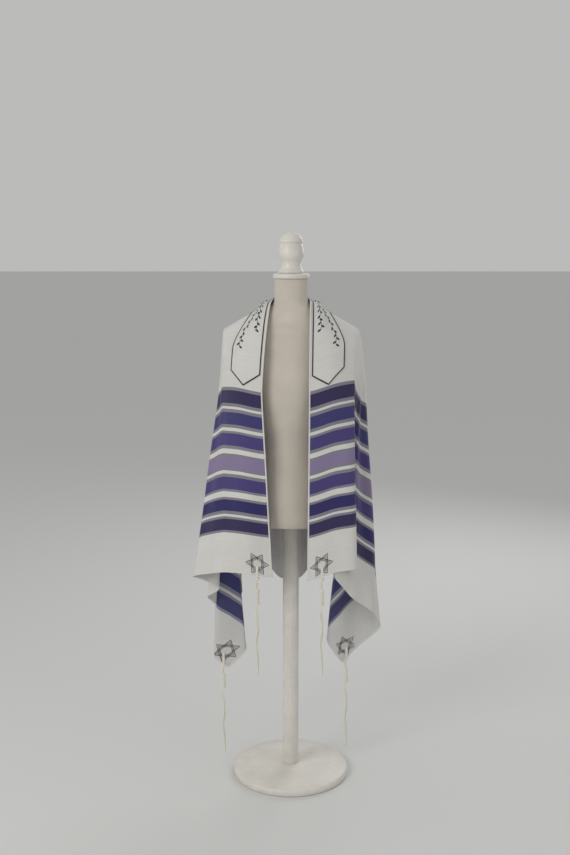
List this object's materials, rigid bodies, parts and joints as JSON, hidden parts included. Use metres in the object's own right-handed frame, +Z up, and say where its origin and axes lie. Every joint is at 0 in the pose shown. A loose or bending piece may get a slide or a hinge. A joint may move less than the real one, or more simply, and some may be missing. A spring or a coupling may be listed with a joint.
{
  "type": "tallit prayer shawl on dress form",
  "caption": "White tallit prayer shawl with purple woven stripes, neck band and corner tassels, worn like a cape by an armless dress form.",
  "frame": {"origin": "middle of the underside of the stand's round base, on the floor", "axes": "+Z up along the pole, -Y towards the front where the two ends of the shawl hang, +X to the viewer's right"},
  "size_m": [0.6145, 0.4265, 1.785],
  "materials": {
    "shawl_cloth": "fine white plain weave with woven purple bands, soft sheen",
    "band_cloth": "white cloth, embroidered in black",
    "tassel_yarn": "cream twisted wool yarn",
    "form_jersey": "cream cotton jersey stretched over the form",
    "painted_wood": "off-white paint, satin"
  },
  "bodies": {
    "root": {"shawl": "shawl_cloth", "neck_band": "band_cloth", "tassel_front_left": "tassel_yarn", "tassel_front_right": "tassel_yarn", "tassel_back_left": "tassel_yarn", "tassel_back_right": "tassel_yarn", "form_torso": "form_jersey", "neck_cap": "painted_wood", "finial": "painted_wood", "pole": "painted_wood", "base": "painted_wood"}
  },
  "joints": []
}
